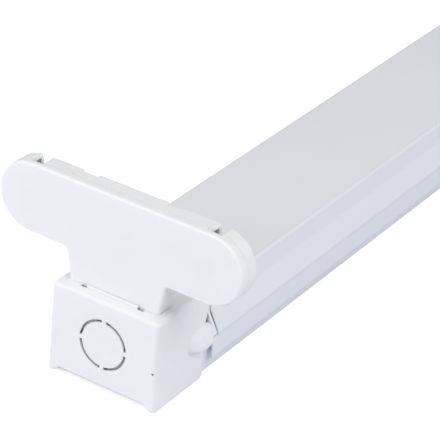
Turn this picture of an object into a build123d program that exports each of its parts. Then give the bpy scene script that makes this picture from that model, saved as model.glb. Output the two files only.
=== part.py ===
from build123d import *
from math import pi, radians, tan
import os

# Twin batten for two T8 tubes, lying on its ceiling side. Millimetres.
# X runs across the fitting, Y along it, and Z points away from the ceiling.
# Pieces of one end are drawn with the end cap's outer face at y = 0 and the fitting towards +Y.

# Lamps: T8 tubes with two-pin G13 caps
LAMP_LENGTH = 589.8
LAMP_END_PLAY = 0.6
LAMP_SPACING = 79.0
LAMP_RISE = 27.3
PIN_PITCH = 12.7
PIN_DIAMETER = 2.35
PIN_SLOT_DEPTH = 7.2

# End cap, moulded
CAP_WIDTH = 48.9
CAP_HEIGHT = 38.6
CAP_DRAFT = 0.5
CAP_SIDE_DEPTH = 32.0
CAP_TOP_DEPTH = 34.0
CAP_WALL = 2.0
CAP_SIDE_WALL = 1.3
CAP_EDGE_RADIUS = 1.4
CAP_REAR_SLANT_LOW = 24.0
CAP_REAR_SLANT_HIGH = 31.0
CAP_REAR_CHAMFER = 1.4
FOOT_WIDTH = 5.0
FOOT_TOE = 1.9
FOOT_HEIGHT = 2.5
GATE_MARK_RADIUS = 0.45
GATE_MARK_DEPTH = 0.6
GATE_MARK_INSET = 1.7
GATE_MARK_HEIGHT = 16.8

# Round knockout in the end cap's face
KNOCKOUT_RADIUS = 10.0
KNOCKOUT_HEIGHT = 20.2
KNOCKOUT_SLIT = 1.1
KNOCKOUT_WEB = 1.8
KNOCKOUT_SKIN = 0.4

# Nose on each flank of the end cap: a hood with a flat underside that carries the cover's rib on
NOSE_RADIUS = 6.0
NOSE_WALL = 1.2
NOSE_HEIGHT = 18.2
NOSE_CENTRE = 26.7
NOSE_BOTTOM = 16.6
NOSE_PROUD = 0.5
NOSE_STEP_DOWN = 0.2
NOSE_GAP = 0.3
RIB_STOP_THICKNESS = 1.3

# Cover, folded sheet steel
COVER_START = 34.4
COVER_FOOT_SETBACK = 1.9
COVER_SHEET = 0.5
COVER_WIDTH = 49.3
COVER_DROP = 0.1
COVER_EDGE_RADIUS = 1.2
RIB_OUT = 3.3
RIB_TOP = 29.0
RIB_TIP = 18.9
RIB_TUCK = 16.4
RIB_BLEND_RADIUS = 5.0
RIB_TIP_RADIUS = 1.3
RIB_TUCK_RADIUS = 1.2
SKIRT_OUT = 0.95
SKIRT_BOTTOM = 6.9

# Tongues behind the end cap that stand inside the cover's end
TONGUE_WIDTH = 40.0
TONGUE_LENGTH = 7.6
TONGUE_ROOT = 6.0
TONGUE_THICKNESS = 1.8
TONGUE_GAP = 0.2
SIDE_TONGUE_THICKNESS = 1.2
SIDE_TONGUE_TOP = 36.0
SIDE_TONGUE_GAP = 0.4
TONGUE_SLIT = 2.6
TONGUE_SLIT_LOW = 22.2
TONGUE_SLIT_HIGH = 28.9

# Base tray, folded sheet steel
TRAY_SHEET = 0.6
TRAY_CAP_GAP = 0.1
TRAY_END_GAP = 0.8
TRAY_WALL_HEIGHT = 11.5
TRAY_JOGGLE = 1.8
TRAY_TOP = 16.0
TRAY_BEND_RADIUS = 1.1
HEM_GAP = 0.4
HEM_SETBACK = 1.0
MOUNT_SPACING = 400.0
MOUNT_HOLE_DIAMETER = 5.0
MOUNT_SLOT_LENGTH = 12.0
PAD_CENTRE = -37.0
PAD_LENGTH = 82.0
PAD_WIDTH = 38.0
PAD_RISE = 2.2
BRIDGE_PLACES = (-130.0, -220.0)
BRIDGE_WIDTH = 8.0
BRIDGE_ROOM_HEIGHT = 3.2
BRIDGE_ROOM_SIDE = 1.2

# Snap that holds the end cap on the tray
SNAP_CENTRE = 16.5
SNAP_WIDTH = 5.0
SNAP_HEIGHT = 4.0
SNAP_LEVEL = 6.8
SNAP_DEPTH = 1.1
SNAP_CLEARANCE = 0.3

# Twin lampholder, two moulded shells
HOLDER_FRONT = 5.3
HOLDER_THICKNESS = 9.5
WING_THICKNESS = 9.9
WING_RADIUS = 14.5
WING_STEP = 22.4
HOLDER_SEAM = 4.3
HOLDER_WALL = 1.8
HOLDER_FRONT_WALL = 1.4
HOLDER_BACK_WALL = 2.3
WING_FACE_WALL = 1.5
NECK_TOP_WIDTH = 44.8
NECK_FOOT_WIDTH = 40.0
NECK_CORNER_RADIUS = 1.5
HOLDER_EDGE_RADIUS = 1.1
WING_BACK_RADIUS = 1.0
SEAM_CHAMFER = 0.25
PIN_ENTRY_START = 2.3
PIN_ENTRY_WIDTH = 3.4
PIN_ENTRY_RADIUS = 2.8
LATCH_NOTCH_WIDTH = 7.1
LATCH_NOTCH_DEPTH = 1.6
LATCH_NOTCH_HEIGHT = 5.0
PLUG_INSET = 0.6
PLUG_SIDE_INSET = 0.8
PLUG_WALL = 1.2
PLUG_DEPTH = 5.6
PLUG_CLEARANCE = 0.15
PLUG_HOOK = 0.5
PLUG_HOOK_WIDTH = 4.0
PLUG_HOOK_HEIGHT = 1.2
PLUG_HOOK_PLACE = 9.0

# Ridge and snap windows on the end cap's top, in front of the neck
RIDGE_HALF_WIDTH = 11.4
RIDGE_THICKNESS = 0.9
RIDGE_HEIGHT = 1.0
RIDGE_GAP = 0.1
RIDGE_RADIUS = 0.35
SNAP_WINDOW_WIDTH = 2.7
SNAP_WINDOW_DEPTH = 1.0

# Lamp rotor
ROTOR_FACE_RADIUS = 9.4
ROTOR_FLANGE = 1.0
ROTOR_FLANGE_THICKNESS = 0.9
ROTOR_PIN_PROUD = 0.325
ROTOR_FLOOR = 0.9
ROTOR_STUB_RADIUS = 2.0
ROTOR_STUB_LENGTH = 0.9
ROTOR_SLOT_SPARE = 0.65
ROTOR_LEAD_IN = 0.4
ROTOR_END_PLAY = 0.2
ROTOR_RUNNING_GAP = 0.05
STUB_RECESS_GAP = 0.2

# Contact strips, spring bronze
CONTACT_SHEET = 0.4
CONTACT_GAP = 0.5
CONTACT_SEAT_GAP = 0.1
INNER_STRIP_WIDTH = 2.7
OUTER_STRIP_WIDTH = 1.9
CONTACT_REACH = 4.0
INNER_BAR_RISE = 4.8
OUTER_BAR_DROP = 9.2
CONTACT_BEND_RADIUS = 3.0
TAIL_PLACE = 6.0
TAIL_WIDTH = 4.0
TAIL_END = 30.0
BARREL_RADIUS = 1.9
BARREL_LENGTH = 6.0

# Three-pole terminal block
POLE_PITCH = 12.0
POLE_WIDTH = 8.0
POLE_LENGTH = 17.0
POLE_HEIGHT = 12.5
POLE_AXIS_HEIGHT = 5.5
POLE_EDGE_RADIUS = 0.6
BLOCK_OFFSET = -5.0
WEB_LENGTH = 10.0
WEB_HEIGHT = 5.0
SLEEVE_RADIUS = 2.7
SLEEVE_BORE_RADIUS = 1.6
SLEEVE_LENGTH = 15.0
SLEEVE_GAP = 0.05
CLAMP_PLACE = 4.5
CLAMP_RADIUS = 1.45
CLAMP_LENGTH = 4.0
CLAMP_SLOT = 0.6
CLAMP_SLOT_DEPTH = 0.8
CLAMP_GAP = 0.1
CLAMP_WELL_SPARE = 0.6
FIXING_RADIUS = 1.35
FIXING_HEAD_RADIUS = 2.6
FIXING_HEAD_HEIGHT = 1.8
FIXING_LENGTH = 7.5
SCREW_GAP = 0.1
SCREW_WELL_GAP = 0.2

# Earth screw and ring lug
EARTH_OFFSET = -31.0
EARTH_SCREW_RADIUS = 1.95
EARTH_SCREW_LENGTH = 3.4
EARTH_HEAD_RADIUS = 3.7
EARTH_HEAD_HEIGHT = 2.6
DRIVE_SLOT = 0.9
DRIVE_SLOT_DEPTH = 1.1
LUG_RADIUS = 4.4
LUG_SHEET = 0.8
LUG_NECK_LENGTH = 7.0
LUG_BARREL_LENGTH = 5.0
LUG_BARREL_WALL = 0.6

# Rubber grommet in the cable entry
GROMMET_OFFSET = 30.0
GROMMET_BORE_RADIUS = 5.0
GROMMET_HOLE_RADIUS = 8.0
GROMMET_FLANGE_RADIUS = 10.0
GROMMET_FLANGE = 1.4
GROMMET_GAP = 0.05
GROMMET_EDGE_RADIUS = 0.5

# Insulated wires
WIRE_RADIUS = 1.2
WIRE_FLOOR_GAP = 0.1
WIRE_RISE_START = -112.0
WIRE_RISE_END = -72.0
WIRE_BITE = 4.5

# Places that follow from the sizes above
HOLDER_SEAM_PLACE = HOLDER_FRONT + HOLDER_SEAM
HOLDER_BACK = HOLDER_FRONT + HOLDER_THICKNESS
WING_BACK = HOLDER_FRONT + WING_THICKNESS
LENGTH = LAMP_LENGTH + 2 * (LAMP_END_PLAY + WING_BACK)
LAMP_X = LAMP_SPACING / 2
LAMP_Z = CAP_HEIGHT + LAMP_RISE
WING_TOP = LAMP_Z + WING_RADIUS
CAP_CEILING = CAP_HEIGHT - CAP_WALL
ROTOR_DRUM_RADIUS = PIN_PITCH / 2 + PIN_DIAMETER / 2 - ROTOR_PIN_PROUD
CAP_HALF = CAP_WIDTH / 2
COVER_HALF = COVER_WIDTH / 2
COVER_FOOT = COVER_START + COVER_FOOT_SETBACK
COVER_TOP = CAP_HEIGHT - COVER_DROP
RIB_HALF = COVER_HALF + RIB_OUT
SKIRT_HALF = COVER_HALF + SKIRT_OUT
CAP_INSIDE_AT_TRAY = CAP_HALF - CAP_SIDE_WALL - CAP_DRAFT * TRAY_WALL_HEIGHT / CAP_HEIGHT
TRAY_HALF = CAP_INSIDE_AT_TRAY - TRAY_CAP_GAP
HEM_HALF = SKIRT_HALF - COVER_SHEET - HEM_GAP
PAD_TOP = PAD_RISE + TRAY_SHEET
BLOCK_Y = PAD_CENTRE + BLOCK_OFFSET
EARTH_Y = BLOCK_Y + EARTH_OFFSET
GROMMET_Y = BLOCK_Y + GROMMET_OFFSET
POLE_AXIS = PAD_TOP + POLE_AXIS_HEIGHT
POLE_TOP = PAD_TOP + POLE_HEIGHT
LIVE_POLE = -POLE_PITCH
NEUTRAL_POLE = 0.0
EARTH_POLE = POLE_PITCH
PLUG_FRONT = HOLDER_FRONT + PLUG_INSET
PLUG_BACK = HOLDER_BACK - PLUG_INSET
PLUG_HALF = NECK_FOOT_WIDTH / 2 - PLUG_SIDE_INSET
PLUG_BOTTOM = CAP_HEIGHT - PLUG_DEPTH
CONTACT_BACK = HOLDER_BACK - HOLDER_BACK_WALL - CONTACT_SEAT_GAP
INNER_TAIL_Y = CONTACT_BACK - INNER_STRIP_WIDTH + CONTACT_SHEET / 2
OUTER_TAIL_Y = CONTACT_BACK - CONTACT_SHEET / 2
BEYOND = 1.0


def block(x, y, z):
    """Box between three (low, high) pairs."""
    spans = (x, y, z)
    middle = [(low + high) / 2 for low, high in spans]
    size = [high - low for low, high in spans]
    return Pos(*middle) * Box(*size)


def prism(section, start, end):
    """Section drawn in x and z, drawn out along Y."""
    return Pos(0, start, 0) * extrude(Plane.XZ * section, amount=end - start, dir=(0, 1, 0))


def rod(radius, start, end, x, z):
    """Round bar along Y."""
    return prism(Pos(x, z) * Circle(radius), start, end)


def post(radius, bottom, top, x, y):
    """Round bar along Z."""
    return Pos(x, y, bottom) * extrude(Circle(radius), amount=top - bottom)


def folded_sheet(points, radii, thickness):
    """Section of a folded sheet whose outside follows the points, with the metal on their left."""
    outside = FilletPolyline(*points, radius=radii)
    return make_face(offset(outside, amount=thickness, side=Side.LEFT).edges())


def mirrored(points):
    """The points, followed by their mirror images in reverse order."""
    return points + [(-x, z) for x, z in reversed(points)]


def at_near_end(piece):
    return Pos(0, -LENGTH / 2, 0) * piece


def at_far_end(piece):
    return Pos(0, LENGTH / 2, 0) * Rot(0, 0, 180) * piece


def cap_section(side_wall=0.0, top_wall=0.0):
    """Drafted cross-section of the end cap, drawn in by its walls."""
    top = CAP_HEIGHT - top_wall
    low = CAP_HALF - side_wall
    high = low - CAP_DRAFT * top / CAP_HEIGHT
    return make_face(Polyline((-low, 0), (low, 0), (high, top), (-high, top), close=True))


def side_cut(points):
    """Cutter across the whole width, from an outline in y and z."""
    outline = Plane.YZ * make_face(Polyline(*points, close=True))
    return extrude(outline, amount=CAP_WIDTH, both=True)


def beside_cover_end(far, gap=0.0):
    """Cutter from a far place to the slanted end of the cover's flanks, or to a gap in front of it."""
    foot = COVER_FOOT - gap
    line = [(COVER_START - gap, CAP_REAR_SLANT_HIGH), (foot, RIB_TIP), (foot, -BEYOND)]
    return side_cut([(far, CAP_REAR_SLANT_HIGH)] + line + [(far, -BEYOND)])


def rib_section(wall=0.0):
    """Section that carries the right flank's rib on a step below its surface, drawn in by a wall."""
    root = CAP_HALF - CAP_SIDE_WALL / 2 - wall
    reach = RIB_HALF - NOSE_STEP_DOWN - wall
    points = [(root, RIB_TUCK + wall), (reach, RIB_TIP), (root, RIB_TOP - wall)]
    section = make_face(Polyline(*points, close=True))
    return fillet(section.vertices().sort_by(Axis.X)[-1], RIB_TIP_RADIUS)


def noses(wall=0.0):
    """Both flanks' noses, drawn in by their wall: a ball-ended hood that runs on with the rib's section."""
    root = CAP_HALF - CAP_SIDE_WALL / 2 - wall
    radius = NOSE_RADIUS - wall
    x = RIB_HALF + NOSE_PROUD - NOSE_RADIUS
    bar = Pos(x, NOSE_CENTRE, NOSE_HEIGHT) * Sphere(radius)
    bar += rod(radius, NOSE_CENTRE, COVER_FOOT, x, NOSE_HEIGHT)
    hood_y = (0, CAP_SIDE_DEPTH - wall)
    nose = bar & block((root, RIB_HALF + BEYOND), hood_y, (NOSE_BOTTOM + wall, CAP_HEIGHT))
    nose += bar & prism(rib_section(wall), NOSE_CENTRE, COVER_FOOT)
    nose -= beside_cover_end(COVER_FOOT + BEYOND, NOSE_GAP + wall)
    return nose + mirror(nose, Plane.YZ)


def rib_stops():
    """Thin walls of the rib's section that close its open end on both flanks."""
    stop = prism(rib_section(), 0, COVER_FOOT)
    stop -= beside_cover_end(-BEYOND, NOSE_GAP + RIB_STOP_THICKNESS)
    stop -= beside_cover_end(COVER_FOOT + BEYOND, NOSE_GAP)
    return stop + mirror(stop, Plane.YZ)


def cap_outside():
    body = prism(cap_section(), 0, CAP_TOP_DEPTH)
    front = body.edges().filter_by(lambda e: abs(e.center().Y) < 0.01 and e.center().Z > 0.01)
    along_top = body.edges().filter_by(Axis.Y).filter_by(lambda e: e.center().Z > CAP_CEILING)
    body = fillet(front + along_top, CAP_EDGE_RADIUS)
    rear = [
        (CAP_SIDE_DEPTH, -BEYOND),
        (CAP_SIDE_DEPTH, CAP_REAR_SLANT_LOW),
        (CAP_TOP_DEPTH, CAP_REAR_SLANT_HIGH),
        (CAP_TOP_DEPTH + BEYOND, CAP_REAR_SLANT_HIGH),
        (CAP_TOP_DEPTH + BEYOND, -BEYOND),
    ]
    body -= side_cut(rear)
    corner = [
        (CAP_SIDE_DEPTH - CAP_REAR_CHAMFER, 0),
        (CAP_SIDE_DEPTH, CAP_REAR_CHAMFER),
        (CAP_SIDE_DEPTH + BEYOND, 0),
    ]
    body -= side_cut(corner)
    return body + noses() + rib_stops()


def knockout_grooves():
    """Ring of four grooves that leave a thin skin to be pushed out."""
    ring = Circle(KNOCKOUT_RADIUS + KNOCKOUT_SLIT / 2) - Circle(KNOCKOUT_RADIUS - KNOCKOUT_SLIT / 2)
    across = 3 * KNOCKOUT_RADIUS
    ring -= Rectangle(KNOCKOUT_WEB, across)
    ring -= Rectangle(across, KNOCKOUT_WEB)
    return prism(Pos(0, KNOCKOUT_HEIGHT) * ring, -BEYOND, CAP_WALL - KNOCKOUT_SKIN)


def cap_snaps():
    """Hooks inside the flanks that click into the tray's windows."""
    hooks = Part()
    level = (SNAP_LEVEL - SNAP_HEIGHT / 2, SNAP_LEVEL + SNAP_HEIGHT / 2)
    along = (SNAP_CENTRE - SNAP_WIDTH / 2, SNAP_CENTRE + SNAP_WIDTH / 2)
    root = CAP_HALF - CAP_SIDE_WALL / 2
    hooks += block((root - CAP_SIDE_WALL / 2 - SNAP_DEPTH, root), along, level)
    hooks += block((-root, -root + CAP_SIDE_WALL / 2 + SNAP_DEPTH), along, level)
    return hooks


def plug_opening():
    x = PLUG_HALF + PLUG_CLEARANCE
    y = (PLUG_FRONT - PLUG_CLEARANCE, PLUG_BACK + PLUG_CLEARANCE)
    return block((-x, x), y, (CAP_CEILING - BEYOND, CAP_HEIGHT + BEYOND))


def cap_ridge():
    back = HOLDER_FRONT - RIDGE_GAP
    y = (back - RIDGE_THICKNESS, back)
    z = (CAP_CEILING, CAP_HEIGHT + RIDGE_HEIGHT)
    ridge = block((-RIDGE_HALF_WIDTH, RIDGE_HALF_WIDTH), y, z)
    return fillet(ridge.edges().group_by(Axis.Z)[-1].filter_by(Axis.X), RIDGE_RADIUS)


def snap_windows():
    windows = Part()
    y = (HOLDER_FRONT - RIDGE_GAP - SNAP_WINDOW_DEPTH, HOLDER_FRONT - RIDGE_GAP)
    z = (CAP_CEILING - BEYOND, CAP_HEIGHT + BEYOND)
    for side in (-1, 1):
        edges = sorted((side * RIDGE_HALF_WIDTH, side * (RIDGE_HALF_WIDTH + SNAP_WINDOW_WIDTH)))
        windows += block(edges, y, z)
    return windows


def cover_tongues():
    """Tongues under the cover's top and behind its flanks, each flank's with a slit at its root."""
    start = CAP_SIDE_DEPTH - TONGUE_ROOT
    end = COVER_START + TONGUE_LENGTH
    top = COVER_TOP - COVER_SHEET - TONGUE_GAP
    tongues = block((-TONGUE_WIDTH / 2, TONGUE_WIDTH / 2), (start, end), (top - TONGUE_THICKNESS, top))
    outside = COVER_HALF - COVER_SHEET - TONGUE_GAP
    x = (outside - SIDE_TONGUE_THICKNESS, outside)
    hem_start = COVER_FOOT + HEM_SETBACK
    over_hem = TRAY_TOP + SIDE_TONGUE_GAP
    over_wall = TRAY_WALL_HEIGHT - TRAY_BEND_RADIUS + SIDE_TONGUE_GAP
    flank = block(x, (start, end), (over_hem, SIDE_TONGUE_TOP))
    flank += block(x, (start, hem_start - SIDE_TONGUE_GAP), (over_wall, over_hem))
    return tongues + flank + mirror(flank, Plane.YZ)


def tongue_slits():
    """Wedge-shaped slits that run out to a point along the end cap's slanted rear edge."""
    slant = (CAP_TOP_DEPTH - CAP_SIDE_DEPTH) / (CAP_REAR_SLANT_HIGH - CAP_REAR_SLANT_LOW)
    tip = CAP_SIDE_DEPTH + slant * (TONGUE_SLIT_HIGH - CAP_REAR_SLANT_LOW)
    wedge = [
        (CAP_SIDE_DEPTH, TONGUE_SLIT_LOW),
        (CAP_SIDE_DEPTH + TONGUE_SLIT, TONGUE_SLIT_LOW),
        (tip, TONGUE_SLIT_HIGH),
    ]
    return side_cut(wedge) - cap_outside()


def between_feet():
    """Gap under the end cap's face, between feet with slanted inner sides."""
    right = [(CAP_HALF - FOOT_TOE, 0), (CAP_HALF - FOOT_WIDTH, FOOT_HEIGHT)]
    return prism(make_face(Polyline(*mirrored(right), close=True)), -BEYOND, CAP_WALL + BEYOND)


def end_cap():
    cap = cap_outside()
    cap -= prism(cap_section(CAP_SIDE_WALL, CAP_WALL), CAP_WALL, COVER_START + BEYOND)
    cap -= noses(NOSE_WALL)
    cap -= between_feet()
    cap -= knockout_grooves()
    cap -= rod(GATE_MARK_RADIUS, -BEYOND, GATE_MARK_DEPTH, CAP_HALF - GATE_MARK_INSET, GATE_MARK_HEIGHT)
    cap += cover_tongues()
    cap -= tongue_slits()
    cap += cap_snaps()
    cap += cap_ridge()
    cap -= plug_opening()
    cap -= snap_windows()
    return cap


def wing_outline(inset=0.0):
    return Pos(0, LAMP_Z) * SlotCenterToCenter(LAMP_SPACING, 2 * (WING_RADIUS - inset))


def wing_end(side, inset=0.0):
    """One thick round end of the wing, from its step outwards."""
    step = WING_STEP + inset
    reach = LAMP_X + WING_RADIUS - step
    window = Pos(side * (step + reach / 2), LAMP_Z) * Rectangle(reach, 2 * WING_RADIUS)
    return wing_outline(inset) & window


def holder_outline(inset=0.0):
    """T-shaped outline of the lampholder, down to the end cap's top."""
    shoulder = LAMP_Z - WING_RADIUS + inset
    top = NECK_TOP_WIDTH / 2 - inset
    foot = NECK_FOOT_WIDTH / 2 - inset
    right = [(foot, CAP_HEIGHT), (top, shoulder), (top, LAMP_Z)]
    outline = wing_outline(inset) + make_face(Polyline(*mirrored(right), close=True))
    corners = [v for v in outline.vertices() if abs(v.Y - shoulder) < 0.01 and abs(abs(v.X) - top) < 0.01]
    return fillet(corners, NECK_CORNER_RADIUS + inset)


def outline_edges(solid, y):
    """Edges of the lampholder's outline at one depth, without the foot that stands on the end cap."""
    at_depth = solid.edges().filter_by(lambda e: abs(e.center().Y - y) < 0.01)
    return at_depth.filter_by(lambda e: e.center().Z > CAP_HEIGHT + 0.01)


def plug_half(start, end, hook_y):
    """One shell's half of the plug that goes into the end cap's top, with its two snap hooks."""
    plug = block((-PLUG_HALF, PLUG_HALF), (start, end), (PLUG_BOTTOM, CAP_HEIGHT))
    inside = PLUG_HALF - PLUG_WALL
    room = (PLUG_FRONT + PLUG_WALL, PLUG_BACK - PLUG_WALL)
    plug -= block((-inside, inside), room, (PLUG_BOTTOM - BEYOND, CAP_HEIGHT + BEYOND))
    hook_top = CAP_CEILING - PLUG_CLEARANCE
    for side in (-1, 1):
        middle = side * PLUG_HOOK_PLACE
        x = (middle - PLUG_HOOK_WIDTH / 2, middle + PLUG_HOOK_WIDTH / 2)
        plug += block(x, hook_y, (hook_top - PLUG_HOOK_HEIGHT, hook_top))
    return plug


def holder_front_shell():
    shell = prism(holder_outline(), HOLDER_FRONT, HOLDER_SEAM_PLACE)
    shell = fillet(outline_edges(shell, HOLDER_FRONT), HOLDER_EDGE_RADIUS)
    shell = chamfer(outline_edges(shell, HOLDER_SEAM_PLACE), SEAM_CHAMFER)
    floor = HOLDER_FRONT + HOLDER_FRONT_WALL
    shell -= prism(holder_outline(HOLDER_WALL), floor, HOLDER_SEAM_PLACE)
    shell += plug_half(PLUG_FRONT, HOLDER_SEAM_PLACE, (PLUG_FRONT - PLUG_HOOK, PLUG_FRONT + PLUG_WALL / 2))
    recess = stub_start() - STUB_RECESS_GAP
    for side in (-1, 1):
        shell -= rod(ROTOR_STUB_RADIUS + ROTOR_RUNNING_GAP, recess, floor, side * LAMP_X, LAMP_Z)
        shell -= pin_entry(side)
    return shell


def pin_entry(side):
    """Way in for the lamp's pins from above, flared by a rounded corner on each side."""
    half = PIN_ENTRY_WIDTH / 2 + PIN_ENTRY_RADIUS
    flare_start = WING_TOP - PIN_ENTRY_RADIUS
    tall = WING_TOP + BEYOND - LAMP_Z
    wide = WING_TOP + BEYOND - flare_start
    section = Pos(0, LAMP_Z + tall / 2) * Rectangle(PIN_ENTRY_WIDTH, tall)
    flare = Pos(0, flare_start + wide / 2) * Rectangle(2 * half, wide)
    for corner in (-half, half):
        flare -= Pos(corner, flare_start) * Circle(PIN_ENTRY_RADIUS)
    entry = prism(section + flare, HOLDER_FRONT + PIN_ENTRY_START, WING_BACK + BEYOND)
    return Pos(side * LAMP_X, 0, 0) * entry


def drum_start():
    return WING_BACK - PIN_SLOT_DEPTH - ROTOR_FLOOR


def stub_start():
    return drum_start() - ROTOR_STUB_LENGTH


def wing_middle():
    """The lampholder's outline between the two thick ends of its wing."""
    return holder_outline() & Pos(0, LAMP_Z) * Rectangle(2 * WING_STEP, 4 * LAMP_Z)


def holder_back_shell():
    rim_start = min(WING_BACK - WING_BACK_RADIUS, HOLDER_BACK)
    shell = prism(holder_outline(), HOLDER_SEAM_PLACE, rim_start)
    shell = chamfer(outline_edges(shell, HOLDER_SEAM_PLACE), SEAM_CHAMFER)
    middle_back = HOLDER_BACK - HOLDER_BACK_WALL
    shell += prism(wing_middle(), middle_back, HOLDER_BACK)
    for side in (-1, 1):
        end = prism(wing_end(side), middle_back, WING_BACK)
        rim = end.edges().filter_by(lambda e: abs(e.center().Y - WING_BACK) < 0.01)
        shell += fillet(rim, WING_BACK_RADIUS)
    shell -= prism(holder_outline(HOLDER_WALL), HOLDER_SEAM_PLACE, middle_back)
    for side in (-1, 1):
        face_inside = WING_BACK - WING_FACE_WALL
        shell -= prism(wing_end(side, HOLDER_WALL), HOLDER_SEAM_PLACE, face_inside)
        bore = ROTOR_FACE_RADIUS + ROTOR_RUNNING_GAP
        shell -= rod(bore, face_inside - BEYOND, WING_BACK + BEYOND, side * LAMP_X, LAMP_Z)
        shell -= pin_entry(side)
        notch = sorted((side * WING_STEP, side * (WING_STEP - LATCH_NOTCH_WIDTH)))
        notch_y = (HOLDER_BACK - LATCH_NOTCH_DEPTH, HOLDER_BACK + BEYOND)
        shell -= block(notch, notch_y, (WING_TOP - LATCH_NOTCH_HEIGHT, WING_TOP + BEYOND))
    shell += plug_half(HOLDER_SEAM_PLACE, PLUG_BACK, (PLUG_BACK - PLUG_WALL / 2, PLUG_BACK + PLUG_HOOK))
    return shell


def rotor(side):
    """Lamp rotor with its pin slot upright, ready for a tube."""
    x = side * LAMP_X
    flange_back = WING_BACK - WING_FACE_WALL - ROTOR_END_PLAY
    flange_front = flange_back - ROTOR_FLANGE_THICKNESS
    body = rod(ROTOR_FACE_RADIUS, flange_back, WING_BACK, x, LAMP_Z)
    body += rod(ROTOR_FACE_RADIUS + ROTOR_FLANGE, flange_front, flange_back, x, LAMP_Z)
    body += rod(ROTOR_DRUM_RADIUS, drum_start(), flange_front, x, LAMP_Z)
    body += rod(ROTOR_STUB_RADIUS, stub_start(), drum_start(), x, LAMP_Z)
    half_slot = (PIN_DIAMETER + ROTOR_SLOT_SPARE) / 2
    tall = (LAMP_Z - WING_RADIUS, LAMP_Z + WING_RADIUS)
    body -= block((x - half_slot, x + half_slot), (WING_BACK - PIN_SLOT_DEPTH, WING_BACK + BEYOND), tall)
    lips = body.edges().filter_by(Axis.Z).filter_by(lambda e: abs(e.center().Y - WING_BACK) < 0.01)
    return chamfer(lips, ROTOR_LEAD_IN)


def tail(x, y, top):
    """Flat leg from a contact strip down through the neck, with a crimp barrel for the wire."""
    flat_y = (y - CONTACT_SHEET / 2, y + CONTACT_SHEET / 2)
    leg = block((x - TAIL_WIDTH / 2, x + TAIL_WIDTH / 2), flat_y, (TAIL_END - BARREL_LENGTH / 2, top))
    return leg + post(BARREL_RADIUS, TAIL_END - BARREL_LENGTH, TAIL_END, x, y)


def contact_inner():
    """Strip that serves the inner pin of both lamps."""
    leaf = LAMP_X - ROTOR_DRUM_RADIUS - CONTACT_GAP
    bar = LAMP_Z + INNER_BAR_RISE
    points = mirrored([(leaf, LAMP_Z - CONTACT_REACH), (leaf, bar)])
    section = folded_sheet(points, CONTACT_BEND_RADIUS, CONTACT_SHEET)
    strip = prism(section, CONTACT_BACK - INNER_STRIP_WIDTH, CONTACT_BACK)
    return strip + tail(-TAIL_PLACE, INNER_TAIL_Y, bar - CONTACT_SHEET / 2)


def contact_outer():
    """Strip that passes under the rotors and serves the outer pin of both lamps."""
    leaf = LAMP_X + ROTOR_DRUM_RADIUS + CONTACT_GAP + CONTACT_SHEET
    bar = LAMP_Z - OUTER_BAR_DROP - CONTACT_SHEET
    points = mirrored([(-leaf, LAMP_Z + CONTACT_REACH), (-leaf, bar)])
    section = folded_sheet(points, CONTACT_BEND_RADIUS, CONTACT_SHEET)
    strip = prism(section, CONTACT_BACK - OUTER_STRIP_WIDTH, CONTACT_BACK)
    return strip + tail(TAIL_PLACE, OUTER_TAIL_Y, bar + CONTACT_SHEET / 2)


def cover_between(low, high):
    """The folded cover between two places across it; its top and flanks are separate nodes of one sheet."""
    right = [
        (SKIRT_HALF, SKIRT_BOTTOM),
        (SKIRT_HALF, RIB_TUCK),
        (RIB_HALF, RIB_TIP),
        (COVER_HALF, RIB_TOP),
        (COVER_HALF, COVER_TOP),
    ]
    bends = [RIB_TUCK_RADIUS, RIB_TIP_RADIUS, RIB_BLEND_RADIUS, COVER_EDGE_RADIUS]
    section = folded_sheet(mirrored(right), bends + bends[::-1], COVER_SHEET)
    section &= Pos((low + high) / 2, 0) * Rectangle(high - low, 3 * CAP_HEIGHT)
    half = LENGTH / 2 - COVER_START
    cover = prism(section, -half, half)
    ahead = beside_cover_end(-BEYOND)
    return cover - at_near_end(ahead) - at_far_end(ahead)


def tray_trough():
    left = [
        (-HEM_HALF, TRAY_TOP),
        (-HEM_HALF, TRAY_WALL_HEIGHT + TRAY_JOGGLE),
        (-TRAY_HALF, TRAY_WALL_HEIGHT),
        (-TRAY_HALF, 0),
    ]
    section = folded_sheet(mirrored(left), TRAY_BEND_RADIUS, TRAY_SHEET)
    half = LENGTH / 2 - CAP_WALL - TRAY_END_GAP
    trough = prism(section, -half, half)
    hem_end = LENGTH / 2 - COVER_FOOT - HEM_SETBACK
    above = (TRAY_WALL_HEIGHT - TRAY_BEND_RADIUS, TRAY_TOP + BEYOND)
    for side in (-1, 1):
        inside_cap = sorted((side * hem_end, side * LENGTH / 2))
        trough -= block((-SKIRT_HALF, SKIRT_HALF), inside_cap, above)
    return trough


def tray_pad():
    """Raised pad that keeps screw ends and the grommet clear of the ceiling."""
    y = (PAD_CENTRE - PAD_LENGTH / 2, PAD_CENTRE + PAD_LENGTH / 2)
    half = PAD_WIDTH / 2
    outside = block((-half, half), y, (0, PAD_TOP))
    inner_y = (y[0] + TRAY_SHEET, y[1] - TRAY_SHEET)
    inner_half = half - TRAY_SHEET
    return outside, block((-inner_half, inner_half), inner_y, (-BEYOND, PAD_RISE))


def wire_bridge(y):
    """Strap lanced up from the tray's floor over the two lamp wires."""
    half = TAIL_PLACE + WIRE_RADIUS + BRIDGE_ROOM_SIDE
    along = (y - BRIDGE_WIDTH / 2, y + BRIDGE_WIDTH / 2)
    room_top = TRAY_SHEET + BRIDGE_ROOM_HEIGHT
    strap = block((-half - TRAY_SHEET, half + TRAY_SHEET), along, (TRAY_SHEET / 2, room_top + TRAY_SHEET))
    through = (along[0] - BEYOND, along[1] + BEYOND)
    return strap - block((-half, half), through, (TRAY_SHEET, room_top))


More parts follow.
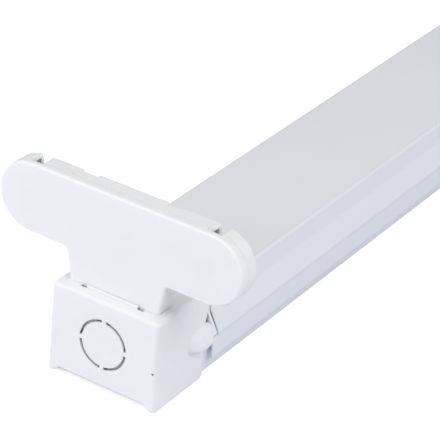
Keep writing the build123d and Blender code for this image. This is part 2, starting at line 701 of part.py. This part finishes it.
def tray_windows():
    windows = Part()
    z = (SNAP_LEVEL - SNAP_HEIGHT / 2 - SNAP_CLEARANCE, SNAP_LEVEL + SNAP_HEIGHT / 2 + SNAP_CLEARANCE)
    half = SNAP_WIDTH / 2 + SNAP_CLEARANCE
    for side in (-1, 1):
        middle = side * (LENGTH / 2 - SNAP_CENTRE)
        windows += block((-CAP_HALF, CAP_HALF), (middle - half, middle + half), z)
    return windows


def base_tray():
    tray = tray_trough()
    pad, under_pad = tray_pad()
    tray += pad
    tray -= under_pad
    for y in BRIDGE_PLACES:
        tray += wire_bridge(y)
    tray -= tray_windows()
    slot = SlotOverall(MOUNT_SLOT_LENGTH, MOUNT_HOLE_DIAMETER, rotation=90)
    for side in (-1, 1):
        tray -= Pos(0, side * MOUNT_SPACING / 2, 0) * extrude(slot, amount=2 * TRAY_SHEET, both=True)
    tray -= post(FIXING_RADIUS + SCREW_GAP, PAD_RISE - BEYOND, PAD_TOP + BEYOND, fixing_x(), BLOCK_Y)
    tray -= post(EARTH_SCREW_RADIUS + SCREW_GAP, PAD_RISE - BEYOND, PAD_TOP + BEYOND, EARTH_POLE, EARTH_Y)
    tray -= post(GROMMET_HOLE_RADIUS, PAD_RISE - BEYOND, PAD_TOP + BEYOND, 0, GROMMET_Y)
    return tray


def fixing_x():
    """The block's fixing screw stands between the live and neutral poles."""
    return (LIVE_POLE + NEUTRAL_POLE) / 2


def pole_places():
    return (LIVE_POLE, NEUTRAL_POLE, EARTH_POLE)


def clamp_places():
    return [(x, BLOCK_Y + end * CLAMP_PLACE) for x in pole_places() for end in (-1, 1)]


def terminal_block():
    near = BLOCK_Y - POLE_LENGTH / 2
    far = BLOCK_Y + POLE_LENGTH / 2
    reach = POLE_PITCH + POLE_WIDTH / 2 - POLE_EDGE_RADIUS
    web_y = (BLOCK_Y - WEB_LENGTH / 2, BLOCK_Y + WEB_LENGTH / 2)
    web_top = PAD_TOP + WEB_HEIGHT
    housing = block((-reach, reach), web_y, (PAD_TOP, web_top))
    for x in pole_places():
        edges = (x - POLE_WIDTH / 2, x + POLE_WIDTH / 2)
        pole = block(edges, (near, far), (PAD_TOP, POLE_TOP))
        housing += fillet(pole.edges().group_by(Axis.Z)[-1], POLE_EDGE_RADIUS)
    for x in pole_places():
        housing -= rod(SLEEVE_RADIUS + SLEEVE_GAP, near - BEYOND, far + BEYOND, x, POLE_AXIS)
    for x, y in clamp_places():
        housing -= post(CLAMP_RADIUS + CLAMP_WELL_SPARE, POLE_AXIS, POLE_TOP + BEYOND, x, y)
    housing -= post(FIXING_RADIUS + SCREW_GAP, PAD_TOP - BEYOND, web_top + BEYOND, fixing_x(), BLOCK_Y)
    housing -= post(FIXING_HEAD_RADIUS + SCREW_WELL_GAP, web_top, POLE_TOP + BEYOND, fixing_x(), BLOCK_Y)
    return housing


def clamp_bottom():
    return POLE_AXIS + WIRE_RADIUS + CLAMP_GAP


def terminal_sleeves():
    sleeves = Part()
    half = SLEEVE_LENGTH / 2
    for x in pole_places():
        sleeve = rod(SLEEVE_RADIUS, BLOCK_Y - half, BLOCK_Y + half, x, POLE_AXIS)
        sleeve -= rod(SLEEVE_BORE_RADIUS, BLOCK_Y - half - BEYOND, BLOCK_Y + half + BEYOND, x, POLE_AXIS)
        sleeves += sleeve
    for x, y in clamp_places():
        sleeves -= post(CLAMP_RADIUS + SCREW_GAP, POLE_AXIS, POLE_AXIS + SLEEVE_RADIUS + BEYOND, x, y)
    return sleeves


def terminal_screws():
    screws = Part()
    top = clamp_bottom() + CLAMP_LENGTH
    for x, y in clamp_places():
        screw = post(CLAMP_RADIUS, clamp_bottom(), top, x, y)
        slot_x = (x - CLAMP_RADIUS - BEYOND, x + CLAMP_RADIUS + BEYOND)
        slot_y = (y - CLAMP_SLOT / 2, y + CLAMP_SLOT / 2)
        screws += screw - block(slot_x, slot_y, (top - CLAMP_SLOT_DEPTH, top + BEYOND))
    return screws


def headed_screw(seat, radius, length, head_radius, head_height):
    """Pan-head screw with a straight slot, its head standing on the seat."""
    x, y, z = seat
    head = post(head_radius, z, z + head_height, x, y)
    crown = head.edges().group_by(Axis.Z)[-1]
    screw = fillet(crown, head_height / 3) + post(radius, z - length, z, x, y)
    slot_x = (x - head_radius - BEYOND, x + head_radius + BEYOND)
    slot_z = (z + head_height - DRIVE_SLOT_DEPTH, z + head_height + BEYOND)
    return screw - block(slot_x, (y - DRIVE_SLOT / 2, y + DRIVE_SLOT / 2), slot_z)


def terminal_fixing_screw():
    seat = (fixing_x(), BLOCK_Y, PAD_TOP + WEB_HEIGHT)
    return headed_screw(seat, FIXING_RADIUS, FIXING_LENGTH, FIXING_HEAD_RADIUS, FIXING_HEAD_HEIGHT)


def earth_screw():
    seat = (EARTH_POLE, EARTH_Y, PAD_TOP + LUG_SHEET)
    return headed_screw(
        seat, EARTH_SCREW_RADIUS, EARTH_SCREW_LENGTH, EARTH_HEAD_RADIUS, EARTH_HEAD_HEIGHT
    )


def lug_barrel_start():
    return EARTH_Y + LUG_NECK_LENGTH


def lug_barrel_axis():
    return PAD_TOP + WIRE_RADIUS + LUG_BARREL_WALL


def earth_lug():
    top = PAD_TOP + LUG_SHEET
    ring = post(LUG_RADIUS, PAD_TOP, top, EARTH_POLE, EARTH_Y)
    barrel_radius = WIRE_RADIUS + LUG_BARREL_WALL
    neck_x = (EARTH_POLE - barrel_radius, EARTH_POLE + barrel_radius)
    ring += block(neck_x, (EARTH_Y, lug_barrel_start() + LUG_BARREL_WALL), (PAD_TOP, top))
    barrel_end = lug_barrel_start() + LUG_BARREL_LENGTH
    ring += rod(barrel_radius, lug_barrel_start(), barrel_end, EARTH_POLE, lug_barrel_axis())
    ring -= post(EARTH_SCREW_RADIUS + SCREW_GAP, PAD_TOP - BEYOND, top + BEYOND, EARTH_POLE, EARTH_Y)
    return ring


def cable_grommet():
    """Rubber ring whose groove holds the edge of the pad's cable hole."""
    height = TRAY_SHEET + 2 * GROMMET_FLANGE
    bottom = PAD_RISE - GROMMET_FLANGE
    ring = post(GROMMET_FLANGE_RADIUS, bottom, bottom + height, 0, GROMMET_Y)
    ring = fillet(ring.edges(), GROMMET_EDGE_RADIUS)
    groove = post(GROMMET_FLANGE_RADIUS + BEYOND, PAD_RISE - GROMMET_GAP, PAD_TOP + GROMMET_GAP, 0, GROMMET_Y)
    groove -= post(GROMMET_HOLE_RADIUS - GROMMET_GAP, bottom, bottom + height, 0, GROMMET_Y)
    ring -= groove
    return ring - post(GROMMET_BORE_RADIUS, bottom - BEYOND, bottom + height + BEYOND, 0, GROMMET_Y)


def bend_radii(points):
    """For each corner, the radius that 0.45 of its shorter run leaves room for."""
    radii = []
    for before, corner, after in zip(points, points[1:], points[2:]):
        run_in = Vector(corner) - Vector(before)
        run_out = Vector(after) - Vector(corner)
        half_turn = radians(run_in.get_angle(run_out)) / 2
        radii.append(0.45 * min(run_in.length, run_out.length) / tan(half_turn))
    return radii


def wire(name, points):
    """Insulated wire along straight runs and tangent arcs."""
    radii = bend_radii(points)
    route = FilletPolyline(*points, radius=radii)
    solid = sweep(Plane(origin=route @ 0, z_dir=route % 0) * Circle(WIRE_RADIUS), path=route)
    volume_ratio = solid.volume / (pi * WIRE_RADIUS**2 * route.length)
    rounded = [round(radius, 1) for radius in radii]
    print(f"{name}: {route.length:.1f} mm, radii {rounded}, volume ratio {volume_ratio:.4f}")
    return solid


def lamp_wire(name, x, tail_y, pole_x):
    """From a contact's barrel down into the tray, along its floor and up into the terminal block."""
    drop_y = tail_y - LENGTH / 2
    floor = TRAY_SHEET + WIRE_RADIUS + WIRE_FLOOR_GAP
    block_end = BLOCK_Y - POLE_LENGTH / 2 + WIRE_BITE
    points = [
        (x, drop_y, TAIL_END - BARREL_LENGTH),
        (x, drop_y, floor),
        (x, WIRE_RISE_START, floor),
        (pole_x, WIRE_RISE_END, POLE_AXIS),
        (pole_x, block_end, POLE_AXIS),
    ]
    return wire(name, points)


def earth_wire():
    start = BLOCK_Y - POLE_LENGTH / 2 + WIRE_BITE
    end = lug_barrel_start() + LUG_BARREL_LENGTH
    run = (start - end) / 3
    points = [
        (EARTH_POLE, start, POLE_AXIS),
        (EARTH_POLE, start - run, POLE_AXIS),
        (EARTH_POLE, end + run, lug_barrel_axis()),
        (EARTH_POLE, end, lug_barrel_axis()),
    ]
    return wire("earth_wire", points)


def fitting():
    """Every piece by its name."""
    bend = COVER_HALF - COVER_EDGE_RADIUS
    pieces = {
        "base_tray": base_tray(),
        "cover_top": cover_between(-bend, bend),
        "cover_flank_left": cover_between(-RIB_HALF, -bend),
        "cover_flank_right": cover_between(bend, RIB_HALF),
        "terminal_block": terminal_block(),
        "terminal_sleeves": terminal_sleeves(),
        "terminal_screws": terminal_screws(),
        "terminal_fixing_screw": terminal_fixing_screw(),
        "earth_screw": earth_screw(),
        "earth_lug": earth_lug(),
        "earth_wire": earth_wire(),
        "live_wire": lamp_wire("live_wire", -TAIL_PLACE, INNER_TAIL_Y, LIVE_POLE),
        "neutral_wire": lamp_wire("neutral_wire", TAIL_PLACE, OUTER_TAIL_Y, NEUTRAL_POLE),
        "cable_grommet": cable_grommet(),
    }
    end_pieces = {
        "end_cap": end_cap(),
        "holder_front_shell": holder_front_shell(),
        "holder_back_shell": holder_back_shell(),
        "contact_inner": contact_inner(),
        "contact_outer": contact_outer(),
    }
    for name, piece in end_pieces.items():
        pieces[f"{name}_near"] = at_near_end(piece)
        pieces[f"{name}_far"] = at_far_end(piece)
    pieces["rotor_near_left"] = at_near_end(rotor(-1))
    pieces["rotor_near_right"] = at_near_end(rotor(1))
    pieces["rotor_far_left"] = at_far_end(rotor(1))
    pieces["rotor_far_right"] = at_far_end(rotor(-1))
    return pieces


os.makedirs("parts", exist_ok=True)
for piece_name, piece_solid in fitting().items():
    export_step(piece_solid, f"parts/{piece_name}.step")
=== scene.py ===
# %% [markdown]
# # A twin batten for two LED tubes
# The object is a ceiling fitting that lies on its ceiling side, with no tubes in it: a folded steel
# tray, a folded steel cover that lifts off, and at each end a moulded cap with a T-shaped
# lampholder. All of it is rigid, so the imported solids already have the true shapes. The lesson is
# therefore about what the eye needs on top of a true shape: a matched camera, soft light, and
# finishes that are not flat.

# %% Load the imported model
from math import radians

import bpy
from mathutils import Matrix, Vector


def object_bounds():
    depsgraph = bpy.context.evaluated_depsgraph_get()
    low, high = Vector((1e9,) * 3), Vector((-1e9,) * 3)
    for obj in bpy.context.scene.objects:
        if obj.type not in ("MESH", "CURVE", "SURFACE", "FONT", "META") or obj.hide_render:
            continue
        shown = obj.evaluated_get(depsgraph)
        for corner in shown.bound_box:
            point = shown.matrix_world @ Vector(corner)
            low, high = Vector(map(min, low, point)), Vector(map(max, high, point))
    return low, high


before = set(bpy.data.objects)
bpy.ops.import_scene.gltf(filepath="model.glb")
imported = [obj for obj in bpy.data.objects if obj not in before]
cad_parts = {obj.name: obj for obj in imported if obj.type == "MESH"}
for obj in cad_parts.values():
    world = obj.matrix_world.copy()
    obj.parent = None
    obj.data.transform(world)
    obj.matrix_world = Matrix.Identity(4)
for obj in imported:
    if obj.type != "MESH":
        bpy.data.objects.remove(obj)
cad_low, cad_high = [Vector(corner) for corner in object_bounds()]
MM = 0.001

# %% [markdown]
# ## The camera
# Matching a picture starts with the camera, because shapes can only be compared from the same place.
# A long lens far away keeps parallel edges nearly parallel, as product pictures do. The place is
# given from the middle of the near end's foot, so that it would follow the end of a longer fitting.
# A new camera looks straight down, so it is tilted up by what its elevation leaves of a right angle.
# Angles are in degrees here, and the lens and its sensor in millimetres.

# %% Camera
CAMERA_FROM_NEAR_END = Vector((415.6, -614.8, 500.8)) * MM
CAMERA_AZIMUTH = 31.02
CAMERA_ELEVATION = 29.73
CAMERA_ROLL = 4.90
LENS_LENGTH = 195.2
SENSOR_WIDTH = 36.0

near_end = Vector((0, cad_low.y, 0))
turn = Matrix.Rotation(radians(CAMERA_AZIMUTH), 4, "Z")
tilt = Matrix.Rotation(radians(90 - CAMERA_ELEVATION), 4, "X")
roll = Matrix.Rotation(radians(CAMERA_ROLL), 4, "Z")

camera = bpy.data.objects.new("camera", bpy.data.cameras.new("camera"))
camera.data.lens = LENS_LENGTH
camera.data.sensor_width = SENSOR_WIDTH
camera.matrix_world = Matrix.Translation(near_end + CAMERA_FROM_NEAR_END) @ turn @ tilt @ roll
bpy.context.scene.collection.objects.link(camera)
bpy.context.scene.camera = camera
print("camera stands", round((camera.location - near_end).length, 3), "m from the near end")

# %% [markdown]
# ## Helpers for colours and nodes
# Colours are easiest to write as the hex values of a paint program, but a renderer adds light in
# linear numbers, so one function converts them. Every material is a small graph of nodes, and one
# more function adds a node with its settings and links. A third starts a material with its constant
# values, which sit on the shader's own sockets.

# %% Helpers
def linear(hex_colour):
    """An sRGB colour such as #ffffff as linear red, green, blue and alpha."""
    shares = [int(hex_colour[i:i + 2], 16) / 255 for i in (1, 3, 5)]
    return [s / 12.92 if s <= 0.04045 else ((s + 0.055) / 1.055) ** 2.4 for s in shares] + [1.0]


def add(tree, kind, settings=None, links=None, stops=None):
    """Adds a node, sets its properties and free inputs, links the others, and fills its ramp."""
    node = tree.nodes.new(kind)
    for name, value in (settings or {}).items():
        if hasattr(node, name):
            setattr(node, name, value)
        else:
            node.inputs[name].default_value = value
    for name, source in (links or {}).items():
        tree.links.new(source, node.inputs[name])
    if stops:
        for stop, (place, colour) in zip(node.color_ramp.elements, stops):
            stop.position = place
            stop.color = linear(colour)
    return node


def new_material(name, settings):
    """A material whose shader has these settings, with its node tree and shader for what varies."""
    material = bpy.data.materials.new(name)
    material.use_nodes = True
    shader = material.node_tree.nodes["Principled BSDF"]
    for socket, value in settings.items():
        shader.inputs[socket].default_value = value
    return material, material.node_tree, shader


print("the grey #808080 is", round(linear("#808080")[0], 3), "of white in linear light")

# %% [markdown]
# ## The floor
# White on white only reads through small differences of tone. A floor bright enough to look white
# would light the fitting from below and flatten it, so there are two floors: the camera sees the
# bright one, and everything else sees the plain paper just under it. That paper is faintly blue,
# which reaches the flanks of the fitting but not its top.

# %% Floors
FLOOR_SIZE = 12.0
UNDER_SEEN_FLOOR = 0.1 * MM
SEEN_GLOW = 0.6
SEEN_PAPER = linear("#e6e7ea")
BOUNCE_PAPER = linear("#e5e6f2")
PAPER_ROUGHNESS = 0.9

bpy.ops.mesh.primitive_plane_add(size=FLOOR_SIZE, location=(0, 0, 0))
seen_floor = bpy.context.object
seen_floor.name = "seen_floor"
bpy.ops.mesh.primitive_plane_add(size=FLOOR_SIZE, location=(0, 0, -UNDER_SEEN_FLOOR))
bounce_floor = bpy.context.object
bounce_floor.name = "bounce_floor"

glowing_paper, _, _ = new_material(
    "glowing_paper",
    {
        "Base Color": SEEN_PAPER,
        "Roughness": PAPER_ROUGHNESS,
        "Emission Color": linear("#ffffff"),
        "Emission Strength": SEEN_GLOW,
    },
)
seen_floor.data.materials.append(glowing_paper)
for rays in ("diffuse", "glossy", "transmission", "shadow"):
    setattr(seen_floor, "visible_" + rays, False)
plain_paper, _, _ = new_material(
    "plain_paper", {"Base Color": BOUNCE_PAPER, "Roughness": PAPER_ROUGHNESS}
)
bounce_floor.data.materials.append(plain_paper)
print("two floors,", FLOOR_SIZE, "m wide")

# %% [markdown]
# ## The light
# An even sky lights every side, as a white tent does in a product studio. A soft panel low in front
# and to the left lifts the faces of the cap and the lampholder, one high on the right lifts the
# flank, and one above the front draws the shade behind the lampholder's wings. Large panels give
# soft shadows, which could also come from many small lamps, but three panels are easier to balance.
# The plain view transform keeps white white, where Blender's usual one would turn it grey.

# %% Sky and panels
SKY_TONE = linear("#f6f8fc")
SKY_STRENGTH = 0.5
PANELS = {
    "right_panel": {"place": (1.4, -0.45, 1.5), "size": 1.0, "watts": 15.7},
    "front_left_panel": {"place": (-0.8, -1.2, 0.3), "size": 0.8, "watts": 6.4},
    "over_front_panel": {"place": (-0.2, -1.4, 1.6), "size": 1.2, "watts": 4.4},
}

world = bpy.data.worlds.new("studio")
world.use_nodes = True
sky = world.node_tree.nodes["Background"]
sky.inputs["Color"].default_value = SKY_TONE
sky.inputs["Strength"].default_value = SKY_STRENGTH
bpy.context.scene.world = world
bpy.context.scene.view_settings.view_transform = "Standard"

for panel_name, panel in PANELS.items():
    light = bpy.data.lights.new(panel_name, "AREA")
    light.size = panel["size"]
    light.energy = panel["watts"]
    lamp = bpy.data.objects.new(panel_name, light)
    lamp.location = panel["place"]
    lamp.rotation_euler = (near_end - lamp.location).to_track_quat("-Z", "Y").to_euler()
    bpy.context.scene.collection.objects.link(lamp)
print("lit by", len(PANELS), "panels and a sky")

# %% [markdown]
# ## Powder-coated steel: the tray and the cover
# Sheet steel is folded first and then sprayed with polyester powder, which melts into a skin in the
# oven. The skin is a satin white with a faint waviness called orange peel, a few millimetres from
# crest to crest, and it is drawn over every cut edge, so no edge is truly sharp. The waviness is a
# noise that feeds a bump. A rounded normal at the edges stands in for the skin there, because it
# costs no geometry. Where the skin is thicker it flows out smoother, so the gloss drifts along the
# sheet. A noise keeps mostly to the middle of its range, so the tones are spread over that span.

# %% Powder coat
finishes = {}
COAT_EDGE = 0.25 * MM
COAT_ROUGHNESS = {"To Min": 0.34, "To Max": 0.42}
PEEL_SIZE = 2.5
PEEL_DEPTH = 0.02 * MM
DRIFT_SIZE = 70
NOISE_SPAN = (0.3, 0.7)


def noise_scale(size_mm):
    """The scale at which the blotches of a noise are about this many millimetres across."""
    return 1 / (size_mm * MM)


def powder_coat(name, tones):
    """Satin polyester powder coat: an even white, orange peel, and a gloss that drifts a little."""
    material, tree, shader = new_material(name, {"IOR": 1.5})
    place = add(tree, "ShaderNodeTexCoord").outputs["Object"]
    broad = {"Scale": noise_scale(DRIFT_SIZE), "Detail": 2.0}
    drift = add(tree, "ShaderNodeTexNoise", broad, {"Vector": place})
    spread = list(zip(NOISE_SPAN, tones))
    tone = add(tree, "ShaderNodeValToRGB", links={"Fac": drift.outputs["Fac"]}, stops=spread)
    gloss = add(tree, "ShaderNodeMapRange", COAT_ROUGHNESS, {"Value": drift.outputs["Fac"]})
    fine = {"Scale": noise_scale(PEEL_SIZE), "Detail": 1.0}
    peel = add(tree, "ShaderNodeTexNoise", fine, {"Vector": place})
    edge = add(tree, "ShaderNodeBevel", {"samples": 4, "Radius": COAT_EDGE})
    wave = add(
        tree,
        "ShaderNodeBump",
        {"Strength": 0.5, "Distance": PEEL_DEPTH},
        {"Height": peel.outputs["Fac"], "Normal": edge.outputs["Normal"]},
    )
    tree.links.new(tone.outputs["Color"], shader.inputs["Base Color"])
    tree.links.new(gloss.outputs["Result"], shader.inputs["Roughness"])
    tree.links.new(wave.outputs["Normal"], shader.inputs["Normal"])
    return material


finishes["cover_steel"] = powder_coat("powder_coated_cover", tones=("#e8ebee", "#ebeef1"))
finishes["tray_steel"] = powder_coat("powder_coated_tray", tones=("#e8eaf0", "#ebedf3"))
print("powder coat on cover and tray, orange peel", PEEL_SIZE, "mm")

# %% [markdown]
# ## Moulded ABS: the end caps
# ABS comes out of the mould with the mould's own skin. Tool makers etch it with sparks, which leaves
# a fine dull grain of about a fifth of a millimetre. That is finer than a pixel here, so it is drawn
# three times as coarse. White ABS also lets light a short way in, which softens thin walls, so the
# shader scatters a share of the light under the surface. Narrow grooves such as the ring of the
# knockout get painted shade: their colour is darkened to a warm grey that stands in for the shade
# deep inside them. The ambient occlusion node finds them: it looks a short way round each point of
# the piece itself, and only what is more shut in than a plain inside corner is darkened.

# %% Moulded ABS
GRAIN_DRAWN = 0.6
FLOW_SIZE = 25
FLOW_SPAN = (0.35, 0.65)
GLOW_REACH = (1.0, 0.75, 0.6)
# Painted shade: the warm grey that narrow grooves are darkened to, and how far the search for them
# reaches.
GROOVE_REACH = 1.5 * MM
GROOVE_PAINTED_SHADE = [(0.25, "#857c74"), (0.5, "#ffffff")]


def moulded(name, ior, tones, roughness, grain_depth, glow_share, glow_depth, edge_radius):
    """Moulded plastic with grain, a tone that drifts along the flow, and light that enters.

    The depths and the radius are in millimetres, and tones and roughness are each a range.
    """
    settings = {
        "IOR": ior,
        "Subsurface Weight": glow_share,
        "Subsurface Radius": GLOW_REACH,
        "Subsurface Scale": glow_depth * MM,
    }
    material, tree, shader = new_material(name, settings)
    place = add(tree, "ShaderNodeTexCoord").outputs["Object"]
    broad = {"Scale": noise_scale(FLOW_SIZE), "Detail": 1.0}
    flow = add(tree, "ShaderNodeTexNoise", broad, {"Vector": place})
    spread = list(zip(FLOW_SPAN, tones))
    tone = add(tree, "ShaderNodeValToRGB", links={"Fac": flow.outputs["Fac"]}, stops=spread)

    # Painted shade: ambient occlusion darkens the colour in narrow grooves and recesses of the piece,
    # in place of the shade inside them.
    reach = {"samples": 8, "only_local": True, "Distance": GROOVE_REACH}
    openness = add(tree, "ShaderNodeAmbientOcclusion", reach).outputs["AO"]
    painted_groove_shade = add(tree, "ShaderNodeValToRGB", links={"Fac": openness}, stops=GROOVE_PAINTED_SHADE)
    tone_with_painted_shade = add(
        tree,
        "ShaderNodeMix",
        {"data_type": "RGBA", "blend_type": "MULTIPLY", "Factor": 1.0},
        {"A": tone.outputs["Color"], "B": painted_groove_shade.outputs["Color"]},
    )

    fine = {"Scale": noise_scale(GRAIN_DRAWN), "Detail": 2.0}
    grain = add(tree, "ShaderNodeTexNoise", fine, {"Vector": place}).outputs["Fac"]
    sheen = {"To Min": roughness[0], "To Max": roughness[1]}
    gloss = add(tree, "ShaderNodeMapRange", sheen, {"Value": grain})
    edge = add(tree, "ShaderNodeBevel", {"samples": 4, "Radius": edge_radius * MM})
    skin = add(
        tree,
        "ShaderNodeBump",
        {"Strength": 0.4, "Distance": grain_depth * MM},
        {"Height": grain, "Normal": edge.outputs["Normal"]},
    )
    tree.links.new(tone_with_painted_shade.outputs["Result"], shader.inputs["Base Color"])
    tree.links.new(gloss.outputs["Result"], shader.inputs["Roughness"])
    tree.links.new(skin.outputs["Normal"], shader.inputs["Normal"])
    return material


finishes["cap_plastic"] = moulded(
    "moulded_abs",
    ior=1.54,
    tones=("#f0f1f2", "#f3f3f4"),
    roughness=(0.56, 0.64),
    grain_depth=0.02,
    glow_share=0.2,
    glow_depth=1.5,
    edge_radius=0.3,
)
print("ABS grain drawn", GRAIN_DRAWN, "mm across")

# %% [markdown]
# ## Moulded polycarbonate and PBT: lampholders and rotors
# A lampholder is polycarbonate, whose mould is polished smoother, so it shines a little more than
# the cap. The rotor that turns with the tube is PBT, a slippery polyester that stands the arc of a
# contact, slightly creamier than the shell round it. Both come from the same mould recipe with other
# numbers, because they differ in gloss and tone and not in kind.

# %% Moulded polycarbonate and PBT
finishes["holder_plastic"] = moulded(
    "moulded_polycarbonate",
    ior=1.585,
    tones=("#f0f1f2", "#f3f3f3"),
    roughness=(0.50, 0.58),
    grain_depth=0.012,
    glow_share=0.5,
    glow_depth=1.5,
    edge_radius=0.08,
)
finishes["rotor_plastic"] = moulded(
    "moulded_pbt",
    ior=1.55,
    tones=("#eae9e4", "#eeede9"),
    roughness=(0.45, 0.53),
    grain_depth=0.015,
    glow_share=0.5,
    glow_depth=1.5,
    edge_radius=0.1,
)
print("lampholder and rotor plastics made")

# %% [markdown]
# ## Rolled bronze, turned brass and plated metals: what carries current
# Metals show how they were shaped. Contact strip is rolled, so its streaks run along the strip, and
# it tarnishes brown in patches. A terminal sleeve is turned, so fine rings run round it. A noise
# that is squeezed along one axis gives both. Real marks are some hundredths of a millimetre apart,
# and are drawn about ten times as coarse so that they show. Zinc plating is dipped in a blue
# passivate, and tin on a copper lug is soft and dull, so those two have a coarser mottle in place
# of sharp marks.

# %% Metals
SCORE_DEPTH = 0.01 * MM


def worked_metal(name, tones, roughness, mark_mm, drift_mm):
    """Bare metal with tool marks this far apart along each axis, and patches of tarnish."""
    material, tree, shader = new_material(name, {"Metallic": 1.0})
    place = add(tree, "ShaderNodeTexCoord").outputs["Object"]
    squeeze = {"Scale": [noise_scale(size) for size in mark_mm]}
    squeezed = add(tree, "ShaderNodeMapping", squeeze, {"Vector": place}).outputs["Vector"]
    fine = {"Scale": 1.0, "Detail": 2.0}
    marks = add(tree, "ShaderNodeTexNoise", fine, {"Vector": squeezed}).outputs["Fac"]
    broad = {"Scale": noise_scale(drift_mm), "Detail": 3.0}
    patches = add(tree, "ShaderNodeTexNoise", broad, {"Vector": place}).outputs["Fac"]
    tarnish = list(zip(NOISE_SPAN, tones))
    tone = add(tree, "ShaderNodeValToRGB", links={"Fac": patches}, stops=tarnish)
    sheen = {"To Min": roughness[0], "To Max": roughness[1]}
    gloss = add(tree, "ShaderNodeMapRange", sheen, {"Value": marks})
    depth = {"Strength": 0.3, "Distance": SCORE_DEPTH}
    score = add(tree, "ShaderNodeBump", depth, {"Height": marks})
    tree.links.new(tone.outputs["Color"], shader.inputs["Base Color"])
    tree.links.new(gloss.outputs["Result"], shader.inputs["Roughness"])
    tree.links.new(score.outputs["Normal"], shader.inputs["Normal"])
    return material


finishes["contact_bronze"] = worked_metal(
    "rolled_phosphor_bronze",
    tones=("#8f6238", "#c08a55"),
    roughness=(0.25, 0.45),
    mark_mm=(8, 0.3, 8),
    drift_mm=6,
)
finishes["sleeve_brass"] = worked_metal(
    "turned_brass",
    tones=("#b8923f", "#d6b565"),
    roughness=(0.2, 0.4),
    mark_mm=(8, 0.35, 8),
    drift_mm=5,
)
finishes["zinc_steel"] = worked_metal(
    "zinc_plated_steel",
    tones=("#aeb6c2", "#cdcfc9"),
    roughness=(0.25, 0.4),
    mark_mm=(0.8, 0.8, 0.8),
    drift_mm=2,
)
finishes["lug_copper"] = worked_metal(
    "tinned_copper",
    tones=("#b9b6ae", "#d2d0ca"),
    roughness=(0.35, 0.5),
    mark_mm=(0.6, 3, 0.6),
    drift_mm=3,
)
print("bronze, brass, zinc and tin made")

# %% [markdown]
# ## Nylon and rubber: the terminal housing and the grommet
# The terminal housing is natural nylon, milky and a little warm, so light goes deeper into it than
# into the white plastics. The grommet is black rubber with a grey bloom, and lets no light in. Both
# are moulded, so the mould recipe serves again.

# %% Nylon and rubber
finishes["block_nylon"] = moulded(
    "natural_nylon",
    ior=1.53,
    tones=("#e6e2d4", "#ece9de"),
    roughness=(0.42, 0.5),
    grain_depth=0.02,
    glow_share=0.5,
    glow_depth=2.0,
    edge_radius=0.2,
)
finishes["grommet_rubber"] = moulded(
    "black_rubber",
    ior=1.52,
    tones=("#28282a", "#333336"),
    roughness=(0.6, 0.75),
    grain_depth=0.03,
    glow_share=0.0,
    glow_depth=0.1,
    edge_radius=0.2,
)
print("nylon and rubber made")

# %% [markdown]
# ## PVC: the wires
# The wires are sheathed in PVC, squeezed hot through a die, which leaves a smooth skin with a soft
# shine: brown for live, blue for neutral, and green with yellow stripes for earth. The stripes run
# along the earth wire, so the side that the surface faces decides the colour: the object-space
# normal mixes yellow over the green. A picture wrapped round the wire could do that too, but needs
# its own coordinates.

# %% Wires
STRIPE_EDGE = {"From Min": 0.28, "From Max": 0.32}
STRIPE_YELLOW = linear("#e3c832")
PVC = {
    "ior": 1.54,
    "roughness": (0.4, 0.5),
    "grain_depth": 0.02,
    "glow_share": 0.05,
    "glow_depth": 0.3,
    "edge_radius": 0.1,
}
finishes["wire_brown"] = moulded("brown_pvc", tones=("#5e3a22", "#694329"), **PVC)
finishes["wire_blue"] = moulded("blue_pvc", tones=("#2a66ab", "#3272b8"), **PVC)
finishes["wire_green"] = moulded("green_yellow_pvc", tones=("#2f7f36", "#37893d"), **PVC)

tree = finishes["wire_green"].node_tree
shader = tree.nodes["Principled BSDF"]
green = shader.inputs["Base Color"].links[0].from_socket
facing = add(tree, "ShaderNodeTexCoord").outputs["Normal"]
sides = add(tree, "ShaderNodeSeparateXYZ", links={"Vector": facing})
on_stripe = add(tree, "ShaderNodeMapRange", STRIPE_EDGE, {"Value": sides.outputs["X"]})
striped = add(
    tree,
    "ShaderNodeMix",
    {"data_type": "RGBA", "B": STRIPE_YELLOW},
    {"Factor": on_stripe.outputs["Result"], "A": green},
)
tree.links.new(striped.outputs["Result"], shader.inputs["Base Color"])
print("three wire colours made")

# %% [markdown]
# ## Dressing the pieces
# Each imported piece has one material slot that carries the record's name for its finish. Swapping the
# material by that name dresses both ends alike, and no piece is missed.

# %% Dress every node
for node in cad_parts.values():
    for slot in node.material_slots:
        slot.material = finishes[slot.material.name]
print("dressed", len(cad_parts), "nodes in", len(finishes), "finishes")
